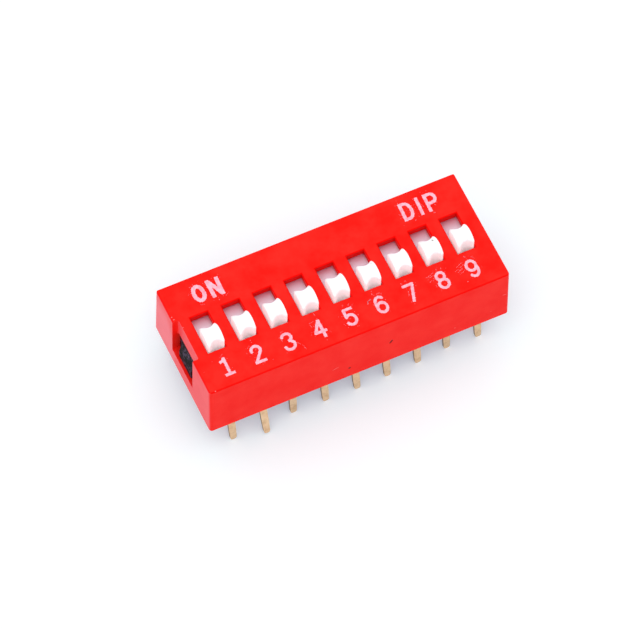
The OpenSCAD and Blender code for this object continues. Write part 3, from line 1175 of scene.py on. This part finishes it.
@dataclass
class ProductCamera:
    """A long lens that looks down on the row from its front left."""

    azimuth: float = -26.436  # degrees, 0 looks along +Y
    elevation: float = 60.249
    roll: float = 1.649
    distance: float = 406.71  # from the camera to the level of the aim
    lens: float = 311.68
    sensor: float = 36.0  # its width
    aim: Place = (0.034, -0.005, 0.25)  # the middle of the body's underside
    aim_right: float = 1.328  # how far that point lies right of the picture's middle
    aim_down: float = 0.294

    def build(self) -> None:
        """Makes the camera and sets it as the scene's."""
        turn, lift, roll = (math.radians(v) for v in (self.azimuth, self.elevation, self.roll))
        back = Vector((math.sin(turn) * math.cos(lift), -math.cos(turn) * math.cos(lift), math.sin(lift)))
        level = Vector((math.cos(turn), math.sin(turn), 0))
        up = back.cross(level)
        right = level * math.cos(roll) + up * math.sin(roll)
        down = right.cross(back)
        place = Vector(self.aim) + back * self.distance - right * self.aim_right - down * self.aim_down
        data = bpy.data.cameras.new("product_camera")
        data.lens = self.lens
        data.sensor_width = self.sensor
        camera = bpy.data.objects.new("product_camera", data)
        pose = Matrix((right, -down, back)).transposed().to_4x4()
        pose.translation = place * MM
        camera.matrix_world = pose
        bpy.context.scene.collection.objects.link(camera)
        bpy.context.scene.camera = camera


@dataclass
class Studio:
    """White paper under the part, a softbox over its near side and a pale surround."""

    floor_side: float = 2400.0
    paper: str = "EAEAEC"
    paper_roughness: float = 0.9
    seen_paper: str = "E3EEE4"  # the paper for the eye, which takes up less of the red round it
    surround: str = "FAF9FF"
    glow: str = "DFDFFF"
    share: float = 0.9  # of its seen brightness with which the surround lights the part
    box_side: float = 420.0
    box_place: Place = (-85.0, -138.0, 443.0)
    box_light: float = 0.65  # watts
    lift: float = 0.29  # glow that takes the paper to white for the eye, but not for the part

    def seen(self, tree: Tree) -> Socket:
        """Tells what the camera, a gloss or a clear piece sees from what lights the part.

        Args:
            tree: The node tree of the paper or of the surround.

        Returns:
            The socket with 1 for what is seen and 0 for what lights the part.
        """
        ray = add(tree, "ShaderNodeLightPath")
        seen = ray.outputs["Is Camera Ray"]
        for kind in ("Is Glossy Ray", "Is Transmission Ray"):
            seen = add(tree, "ShaderNodeMath", {0: seen, 1: ray.outputs[kind]}, operation="MAXIMUM")
        return seen.outputs[0]

    def lay_paper(self) -> None:
        """Lays the paper at the height of the lowest pin tip."""
        half, height = self.floor_side / 2 * MM, CAD_BOX[0].z
        mesh = bpy.data.meshes.new("studio_paper")
        corners = [(-half, -half, height), (half, -half, height), (half, half, height), (-half, half, height)]
        mesh.from_pydata(corners, [], [(0, 1, 2, 3)])
        paper = bpy.data.materials.new("studio_paper")
        paper.use_nodes = True
        tree = paper.node_tree
        shader = next(node for node in tree.nodes if node.type == "BSDF_PRINCIPLED")
        seen = self.seen(tree)
        colour = add(
            tree,
            "ShaderNodeMix",
            {0: seen, MIX_A: linear(self.paper), MIX_B: linear(self.seen_paper)},
            data_type="RGBA",
        )
        glow = add(tree, "ShaderNodeMath", {0: seen, 1: self.lift}, operation="MULTIPLY")
        fill(
            tree,
            shader,
            {
                "Base Color": colour.outputs[MIX_RESULT],
                "Roughness": self.paper_roughness,
                "Specular IOR Level": 0.0,
                "Emission Color": linear(self.glow),
                "Emission Strength": glow,
            },
        )
        mesh.materials.append(paper)
        floor = bpy.data.objects.new("studio_paper", mesh)
        bpy.context.scene.collection.objects.link(floor)

    def hang_softbox(self) -> None:
        """Hangs the softbox high over the part, on its near side."""
        data = bpy.data.lights.new("softbox", "AREA")
        data.shape = "SQUARE"
        data.size = self.box_side * MM
        data.energy = self.box_light
        lamp = bpy.data.objects.new("softbox", data)
        place = Vector(self.box_place) * MM
        lamp.location = place
        lamp.rotation_euler = place.to_track_quat("Z", "Y").to_euler()
        bpy.context.scene.collection.objects.link(lamp)

    def light_surround(self) -> None:
        """Sets the world: white where it is seen, softer where it lights the part."""
        world = bpy.data.worlds.new("surround")
        bpy.context.scene.world = world
        world.use_nodes = True
        tree = world.node_tree
        backdrop = next(node for node in tree.nodes if node.type == "BACKGROUND")
        strength = add(tree, "ShaderNodeMapRange", {"Value": self.seen(tree), "To Min": self.share})
        fill(tree, backdrop, {"Color": linear(self.surround), "Strength": strength})

    def build(self) -> None:
        """Builds the floor, the lamp and the surround, and sets the view's plain tone."""
        self.lay_paper()
        self.hang_softbox()
        self.light_surround()
        bpy.context.scene.view_settings.view_transform = "Standard"


def main() -> None:
    """Builds the camera, the finishes, the marks and the studio, in that order."""
    logging.basicConfig(level=logging.INFO, format="%(name)s: %(message)s")
    ProductCamera().build()
    dressed = {**Housing().dress(), **SliderBank().dress()}
    for name, material in dressed.items():
        for material_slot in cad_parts[name].material_slots:
            material_slot.material = material
        log.info("%s takes %s", name, material.name)
    thin = PadPrintInk(name="stray_ink", thick="FF9AA6", thin="FA6C78")
    marks = PrintedMarks(PadPrintInk().material(), thin.material(), surface=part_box("cover")[1].z / MM)
    for piece in marks.build():
        log.info("%s has %d faces", piece.name, len(piece.data.polygons))
    Studio().build()


if __name__ == "__main__":
    main()
